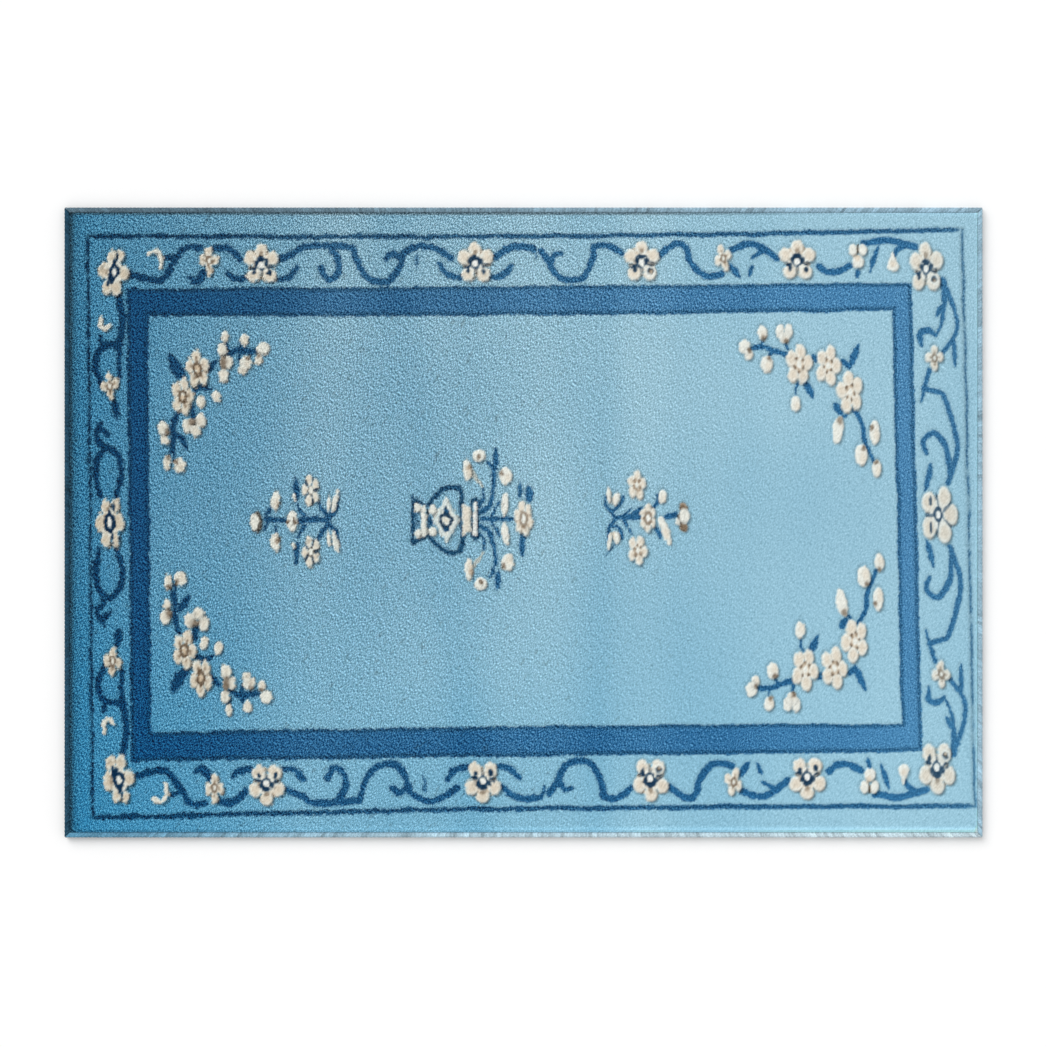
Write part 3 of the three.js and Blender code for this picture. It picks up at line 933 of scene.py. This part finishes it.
stem([(123, -9), (127.5, -15), (129, -20.5)], (4, 5, 3))
stem([(130, -2), (134, -12), (138, -26)], (6, 8, 4), yarn="cream")
spot("tan", 135, -16, 4, 12, turn=15, strength=0.45, soft=2.5, halves=ONCE)
stem([(135, 1), (145, 3)], (4.6, 5.2, 5))
spot("brown", 149.5, -1, 7, 14, strength=0.75, rise=BUD_RISE, halves=ONCE)
for place in (11, -9.5):
    spot("tan", 152.5, place, 7.5, 8.5, rise=BUD_RISE, halves=ONCE)
    spot("brown", 152, place, 7, 7.5, strength=0.75, soft=2.4, halves=ONCE)
oval(153.5, 1.5, 11, 16, halves=ONCE)
oval(146.5, -4, 5, 7, halves=ONCE)
blossom("pale", 106, 32.5, 20, 31, turn=-10)
blossom("round", 117, -0.5, 17.5, 30, halves=ONCE)

# Yarns pale a little towards the right end, partly the yarn's own fade and partly painted sheen
fade_and_sheen = FADE_AND_SHEEN * along_rug(*FADE_AND_SHEEN_PLACE)
colour += fade_and_sheen[..., None] * (field_colour - colour)

# Blue yarn is deeper towards the front
blueness = np.clip((colour[..., 2] - colour[..., 0]) / FULL_BLUENESS, 0, 1)
blueness *= np.clip(-pile_y / half_width, 0, 1)
blueness *= 1 - FRONT_TINT_FADE * tone
colour += blueness[..., None] * FRONT_TINT

# Nap shading: how strongly the fibres' painted highlights and painted shade show, which is most at the left
# and in dark yarn and least on the blossoms
nap_shading = NAP_SHADING_RIGHT + (NAP_SHADING_LEFT - NAP_SHADING_RIGHT) * (1 - along_rug(*NAP_SHADING_FADE))
nap_shading *= 1 + NAP_SHADING_AT_END * np.exp(-(pile_x + half_length) / NAP_SHADING_END_REACH)
nap_shading *= 1 + NAP_SHADING_SKEW * pile_y / half_width
dark = np.clip(1 - colour.mean(axis=2) / field_colour.mean(axis=2), 0, 1)
nap_shading = nap_shading * (1 + NAP_SHADING_ON_DARK * dark) + NAP_SHADING_IN_DARK * dark
raised = np.clip(relief / BLOSSOM_RISE, 0, 1)
nap_shading *= 1 - NAP_SHADING_ON_BLOSSOMS * raised
nap_shading *= 1 - NAP_SHADING_ON_STROKES * np.clip(relief / STROKE_RISE, 0, 1)

# Shadows in the clipped trenches, in short partings that lean one way, and at the lower right of each motif
partings = smooth_step((noise(13, *PARTINGS) - PARTING_RARITY) / PARTING_SOFT)
partings *= 1 - PARTING_LOSS * along_rug(*PARTING_FADE)
shadow = 1 - TRENCH_SHADE * trench / LINE_TRENCH
above_left = np.roll(relief, (-SHADOW_STEPS, SHADOW_STEPS), axis=(0, 1))
motif_shade = MOTIF_SHADE * (1 - MOTIF_SHADE_FADE * tone)
shadow *= 1 - motif_shade * np.clip((above_left - relief) / BLOSSOM_RISE, 0, 1)
shadow *= 1 - PARTING_SHADE * partings
shadow *= 1 - LEFT_END_SHADE * hump(pile_x + half_length, LEFT_END_REACH)

# Rim: the pile leans out and down, most at the left and back, where painted shade darkens a groove along the
# edge yarn; along the right and front the rim is painted lighter
gaps = {
    "left": half_length + pile_x,
    "right": half_length - pile_x,
    "front": half_width + pile_y,
    "back": half_width - pile_y,
}
rim_fades = {"back": 1 - along_rug(*BACK_RIM_FADE), "front": tone**2}
rim_drop = np.zeros((rows, columns))
for side, gap in gaps.items():
    rim_drop = np.maximum(rim_drop, RIM_DROPS[side] * near_side(gap, RIM_REACH) ** RIM_CURVE)
    shade, shade_reach = RIM_SHADES[side]
    shadow *= 1 - shade * rim_fades.get(side, 1.0) * near_side(gap, shade_reach)
colour = np.clip(colour * shadow[..., None], *COLOUR_LIMITS)

# Heights
tufts = np.clip(noise(11, *TUFTS), -TUFT_LIMIT, TUFT_LIMIT)
pile_z = PILE_TOP - PILE_SETTLING + relief - rim_drop - PARTING_DEPTH * partings
pile_z -= trench * (1 - raised)
pile_z += (TUFT_HEIGHT + TUFT_HEIGHT_AT_LEFT * (1 - tone)) * tufts
pile_z[[0, -1], :] = RIM_HEIGHT
pile_z[:, [0, -1]] = RIM_HEIGHT
pile_y[[0, -1], :] *= 1 + RIM_OVERHANG / half_width
pile_x[:, [0, -1]] *= 1 + RIM_OVERHANG / half_length
slope_y, slope_x = np.gradient(pile_z, step_y, step_x)
pile_normals = np.dstack([-slope_x, -slope_y, np.ones_like(pile_z)])
pile_normals /= np.linalg.norm(pile_normals, axis=2, keepdims=True)


def linear(srgb):
    """Linear light from sRGB of 0 to 255."""
    share = np.asarray(srgb) / 255.0
    return np.where(share <= 0.04045, share / 12.92, ((share + 0.055) / 1.055) ** 2.4)


def mesh_piece(name, points, faces, colours, nap_shadings, flat_place, material, node):
    """A piece from arrays: points in millimetres, faces, colours, nap shadings, which set how strongly
    painted fibre highlights and shade show, and places on a flat sheet.
    """
    mesh = bpy.data.meshes.new(name)
    mesh.from_pydata((np.asarray(points) * MM).tolist(), [], [list(face) for face in faces])
    mesh.update()
    mesh.polygons.foreach_set("use_smooth", np.ones(len(mesh.polygons), dtype=bool))
    # The yarn colours carry painted shade and painted light, and their alpha is the nap shading
    rgba = np.concatenate([linear(colours), np.reshape(nap_shadings, (-1, 1))], axis=1)
    mesh.color_attributes.new("yarn", "FLOAT_COLOR", "POINT").data.foreach_set("color", rgba.ravel())
    corners = np.empty(len(mesh.loops), dtype=np.int32)
    mesh.loops.foreach_get("vertex_index", corners)
    mesh.uv_layers.new(name="OFBake").data.foreach_set("uv", np.asarray(flat_place)[corners].ravel())
    piece = bpy.data.objects.new(name, mesh)
    bpy.context.collection.objects.link(piece)
    mesh.materials.append(material)
    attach(piece, "root")
    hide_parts(node)
    return piece


def grid_faces(row_count, column_count):
    """Four-cornered faces of a grid of points that is listed row by row."""
    numbers = np.arange(row_count * column_count).reshape(row_count, column_count)
    corners = (numbers[:-1, :-1], numbers[:-1, 1:], numbers[1:, 1:], numbers[1:, :-1])
    return np.stack([corner.ravel() for corner in corners], axis=1)


# Materials
class Nodes:
    """A material's nodes, each made in one line."""

    def __init__(self, name):
        self.material = bpy.data.materials.new(name)
        self.material.use_nodes = True
        self.tree = self.material.node_tree
        self.shader = self.tree.nodes["Principled BSDF"]

    def add(self, kind, inputs=None, **settings):
        """A new node of one kind, with its inputs and settings."""
        node = self.tree.nodes.new("ShaderNode" + kind)
        for setting, value in settings.items():
            setattr(node, setting, value)
        for socket, value in (inputs or {}).items():
            self.put(node.inputs[socket], value)
        return node

    def times_plus(self, value, factor, addend):
        """A node for value times factor plus addend."""
        return self.add("Math", {0: value, 1: factor, 2: addend}, operation="MULTIPLY_ADD")

    def put(self, socket, value):
        """Give a socket a value, or link it from an output or from a node's first output."""
        if isinstance(value, bpy.types.Node):
            value = value.outputs[0]
        if isinstance(value, bpy.types.NodeSocket):
            self.tree.links.new(value, socket)
        else:
            socket.default_value = value

    def paint(self, **inputs):
        """Set the shader's inputs, whose names have underscores for spaces."""
        for socket, value in inputs.items():
            self.put(self.shader.inputs[socket.replace("_", " ")], value)


def wool(name, tuft_pitch, bump_depth):
    """Wool in the colours of its yarn, broken up by tufts and fibres, with painted highlights on their tips
    and painted shade between them, as strongly as its nap shading says.
    """
    nodes = Nodes(name)
    place = nodes.add("TexCoord").outputs["Object"]
    lean = (0.0, 0.0, math.radians(TUFT_ANGLE))
    leaning_places = []
    for stretch in (TUFT_STRETCH, FIBRE_STRETCH):
        inputs = {"Vector": place, "Rotation": lean, "Scale": (stretch, 1.0, 1.0)}
        leaning_places.append(nodes.add("Mapping", inputs, vector_type="TEXTURE"))
    tuft_place, fibre_place = leaning_places
    cells = nodes.add(
        "TexVoronoi",
        {"Vector": tuft_place, "Scale": 1 / (tuft_pitch * MM), "Smoothness": 0.35},
        voronoi_dimensions="2D",
        feature="SMOOTH_F1",
    )
    strands = nodes.add(
        "TexNoise",
        {
            "Vector": tuft_place,
            "Scale": STRANDS_PER_TUFT / (tuft_pitch * MM),
            "Detail": 3.0,
            "Roughness": 0.6,
        },
        noise_dimensions="2D",
    )
    fibres = nodes.add(
        "TexNoise",
        {"Vector": fibre_place, "Scale": 1 / (FIBRE_PITCH * MM), "Detail": 1.0, "Roughness": 0.5},
        noise_dimensions="2D",
    )
    yarn = nodes.add("Attribute", attribute_name="yarn")
    strand = nodes.times_plus(strands, STRAND_SHARE, -TUFT_MEAN)
    tuft = nodes.times_plus(cells, -CELL_SHARE, strand)
    tuft_light = nodes.times_plus(tuft, TUFT_CONTRAST, 1.0)
    fibre_contrast = nodes.times_plus(yarn.outputs["Alpha"], FIBRE_CONTRAST, 0.0)
    fibre = nodes.times_plus(fibres, 1.0, -FIBRE_MEAN)
    fibre_light = nodes.times_plus(fibre, fibre_contrast, tuft_light)
    # The clamped light paints highlights on tuft and fibre tips and shade between them into the base colour
    light = nodes.add("Clamp", {"Value": fibre_light, "Min": DARKEST, "Max": LIGHTEST})
    gamma = nodes.times_plus(light, -DEEPENING, 1 + DEEPENING)
    deeper = nodes.add("Gamma", {"Color": yarn.outputs["Color"], "Gamma": gamma})
    scale = nodes.times_plus(light, 1 - DEEPENING, DEEPENING)
    tinted = nodes.add("VectorMath", {0: deeper, "Scale": scale}, operation="SCALE")
    inputs = {"Height": fibre_light, "Strength": BUMP_STRENGTH, "Distance": bump_depth * MM}
    bump = nodes.add("Bump", inputs)
    nodes.paint(
        Base_Color=tinted,
        Normal=bump,
        Roughness=WOOL_ROUGHNESS,
        Specular_IOR_Level=WOOL_SPECULAR,
        Sheen_Weight=WOOL_SHEEN,
        Sheen_Roughness=SHEEN_ROUGHNESS,
        Sheen_Tint=SHEEN_TINT,
    )
    return nodes.material


pile_wool = wool("pile_wool", PILE_TUFT_PITCH, PILE_BUMP)
edge_wool = wool("edge_wool", EDGE_TUFT_PITCH, EDGE_BUMP)

# Pile, in tiles whose shared points and directions leave no seam
column_cuts = np.linspace(0, columns - 1, len(TILE_NAMES_ALONG) + 1).round().astype(int)
row_cuts = np.linspace(0, rows - 1, len(TILE_NAMES_ACROSS) + 1).round().astype(int)
for row_name, row_start, row_stop in zip(TILE_NAMES_ACROSS, row_cuts, row_cuts[1:]):
    for column_name, column_start, column_stop in zip(TILE_NAMES_ALONG, column_cuts, column_cuts[1:]):
        patch = np.s_[row_start : row_stop + 1, column_start : column_stop + 1]
        tile_rows, tile_columns = pile_x[patch].shape
        points = np.dstack([pile_x[patch], pile_y[patch], pile_z[patch]]).reshape(-1, 3)
        flat_place = points[:, :2] - points[:, :2].min(axis=0)
        flat_place = flat_place / flat_place.max()
        tile = mesh_piece(
            f"pile_{row_name}_{column_name}",
            points,
            grid_faces(tile_rows, tile_columns),
            colour[patch].reshape(-1, 3),
            nap_shading[patch],
            flat_place,
            pile_wool,
            "pile_panel",
        )
        tile.data.normals_split_custom_set_from_vertices(pile_normals[patch].reshape(-1, 3).tolist())


# Overcast edges: yarn wound round each side in slanting stitches, with mitred ends
def rounded_square(wave):
    """A wave with flattened tops, which squares off a circle."""
    return np.sign(wave) * np.abs(wave) ** EDGE_SQUARENESS


for quarter_turns, edge_name in enumerate(EDGE_NAMES):
    run_length, rug_across = (RUG_WIDTH, RUG_LENGTH) if quarter_turns % 2 else (RUG_LENGTH, RUG_WIDTH)
    stations = round(run_length / EDGE_STEP) + 1
    around = np.linspace(0, 2 * np.pi, EDGE_POINTS, endpoint=False)
    along, angle = np.meshgrid(np.linspace(-1, 1, stations), around, indexing="ij")
    across, up = rounded_square(np.cos(angle)), rounded_square(np.sin(angle))
    stitch = along * run_length / (2 * STITCH_PITCH) + STITCH_SLANT * angle / np.pi
    crest = np.abs(np.sin(np.pi * stitch)) ** STITCH_FULLNESS
    shrink = 1 - STITCH_DEPTH * (1 - crest) / (EDGE_WIDTH / 2)
    inward = EDGE_WIDTH / 2 * (1 + shrink * across)
    height = EDGE_HEIGHT / 2 * (1 + shrink * up)
    run_x = along * (run_length / 2 - inward - MITRE_GAP)
    run_y = inward - rug_across / 2
    turn = quarter_turns * math.pi / 2
    edge_x = run_x * math.cos(turn) - run_y * math.sin(turn)
    edge_y = run_x * math.sin(turn) + run_y * math.cos(turn)
    points = np.dstack([edge_x, edge_y, height]).reshape(-1, 3)
    draws = np.random.default_rng(EDGE_SEED + quarter_turns)
    stitch_lights = draws.normal(1.0, STITCH_VARIATION, STITCH_KINDS)
    stitch_light = stitch_lights[np.floor(stitch - stitch.min()).astype(int) % STITCH_KINDS]
    # Painted shade darkens the hollows between stitches and the edge's outer lower side, and each side's
    # copy of the edge yarn carries painted shade or painted light as listed for it
    stitch_light *= 1 - STITCH_SHADES[edge_name] * (1 - crest)
    edge_tone = 1 - np.exp(-(points[:, 0] + RUG_LENGTH / 2) / TONE_REACH)
    edge_colour = yarn_colour(f"edge_{edge_name}", edge_tone)
    outside = OUTSIDE_SHADE * np.clip(-across - OUTSIDE_LIFT * up, 0, 1).reshape(-1, 1) ** 2
    edge_colour += outside * (yarn_colour("shade", edge_tone) - edge_colour)
    edge_colour *= stitch_light.reshape(-1, 1)
    numbers = np.arange(stations * EDGE_POINTS).reshape(stations, EDGE_POINTS)
    after = np.roll(numbers, -1, axis=1)
    sides = np.stack([numbers[:-1], numbers[1:], after[1:], after[:-1]], axis=2).reshape(-1, 4)
    faces = [*sides.tolist(), numbers[0].tolist(), numbers[-1][::-1].tolist()]
    flat_along = (along.ravel() + 1) / 2
    flat_around = EDGE_FLAT_SHARE * angle.ravel() / (2 * np.pi)
    mesh_piece(
            f"overcast_{edge_name}",
            points,
            faces,
            np.clip(edge_colour, *COLOUR_LIMITS),
            np.full(len(points), EDGE_NAP_SHADING),
            np.stack([flat_along, flat_around], axis=1),
            edge_wool,
            f"serged_edge_{edge_name}",
        )

# Back
canvas = Nodes("back_canvas")
canvas_place = canvas.add("TexCoord").outputs["Object"]
threads = []
for direction in ("X", "Y"):
    wave = canvas.add(
        "TexWave",
        {
            "Vector": canvas_place,
            "Scale": THREAD_SCALE,
            "Distortion": 1.2,
            "Detail": 2.0,
            "Detail Scale": 2.0,
        },
        bands_direction=direction,
    )
    threads.append(wave.outputs["Fac"])
weave = canvas.add("Math", {0: threads[0], 1: threads[1]}, operation="MULTIPLY")
cotton = canvas.add("ValToRGB", {"Fac": weave})
cotton.color_ramp.elements[0].color = THREAD_DARK
cotton.color_ramp.elements[1].color = THREAD_LIGHT
thread_inputs = {"Height": weave, "Strength": THREAD_RELIEF, "Distance": THREAD_BUMP * MM}
canvas_bump = canvas.add("Bump", thread_inputs)
canvas.paint(Base_Color=cotton, Normal=canvas_bump, Roughness=BACK_ROUGHNESS, Sheen_Weight=BACK_SHEEN)

back_columns = round(2 * half_length / BACK_PITCH) + 1
back_rows = round(2 * half_width / BACK_PITCH) + 1
back_x, back_y = np.meshgrid(
    np.linspace(BACK_INSET - half_length, half_length - BACK_INSET, back_columns),
    np.linspace(BACK_INSET - half_width, half_width - BACK_INSET, back_rows),
)
back_layers = [np.dstack([back_x, back_y, np.full_like(back_x, z)]) for z in (0, BACK_THICKNESS)]
back_points = np.concatenate([layer.reshape(-1, 3) for layer in back_layers])
back_numbers = np.arange(back_rows * back_columns).reshape(back_rows, back_columns)
upper_start = back_rows * back_columns
lower_faces = grid_faces(back_rows, back_columns)[:, ::-1]
upper_faces = grid_faces(back_rows, back_columns) + upper_start
outline = np.concatenate(
    [back_numbers[0], back_numbers[1:, -1], back_numbers[-1, -2::-1], back_numbers[-2:0:-1, 0]]
)
outline_after = np.roll(outline, -1)
side_faces = np.stack([outline, outline_after, outline_after + upper_start, outline + upper_start], axis=1)
back_flat = (back_points[:, :2] + [half_length, half_width]) / (2 * half_length)
back_flat[upper_start:] = UPPER_FLAT_SHARE * back_flat[upper_start:] + UPPER_FLAT_START
rug_back = mesh_piece(
    "rug_back",
    back_points,
    np.concatenate([lower_faces, upper_faces, side_faces]),
    np.full((len(back_points), 3), BACK_GREY),
    np.ones(len(back_points)),
    back_flat,
    canvas.material,
    "pile_panel",
)

# Studio
floor_mesh = bpy.data.meshes.new("studio_floor")
floor_corners = [(-1, -1), (1, -1), (1, 1), (-1, 1)]
floor_mesh.from_pydata([(FLOOR_SIZE * a, FLOOR_SIZE * b, 0.0) for a, b in floor_corners], [], [(0, 1, 2, 3)])
studio_floor = bpy.data.objects.new("studio_floor", floor_mesh)
bpy.context.collection.objects.link(studio_floor)
floor_paint = Nodes("studio_floor")
floor_paint.paint(Base_Color=FLOOR_COLOUR, Roughness=FLOOR_ROUGHNESS)
floor_mesh.materials.append(floor_paint.material)

scene = bpy.context.scene
world = bpy.data.worlds.new("studio")
world.use_nodes = True
sky = world.node_tree.nodes["Background"]
sky.inputs["Color"].default_value = (1.0, 1.0, 1.0, 1.0)
sky.inputs["Strength"].default_value = WORLD_LIGHT
scene.world = world
scene.view_settings.view_transform = "Standard"

sun_light = bpy.data.lights.new("soft_key", "SUN")
sun_light.energy = SUN_STRENGTH
sun_light.angle = math.radians(SUN_SOFTNESS)
sun = bpy.data.objects.new("soft_key", sun_light)
sun.rotation_euler = (math.radians(SUN_TOWARDS), math.radians(-SUN_DOWN), 0.0)
bpy.context.collection.objects.link(sun)

camera_data = bpy.data.cameras.new("camera")
camera_data.sensor_width = SENSOR_WIDTH
camera_data.lens = SENSOR_WIDTH * (CAMERA_HEIGHT - EDGE_HEIGHT) / PHOTO_WIDTH
camera = bpy.data.objects.new("camera", camera_data)
camera.location = (0.0, CAMERA_SHIFT_ACROSS * MM, CAMERA_HEIGHT * MM)
bpy.context.collection.objects.link(camera)
scene.camera = camera
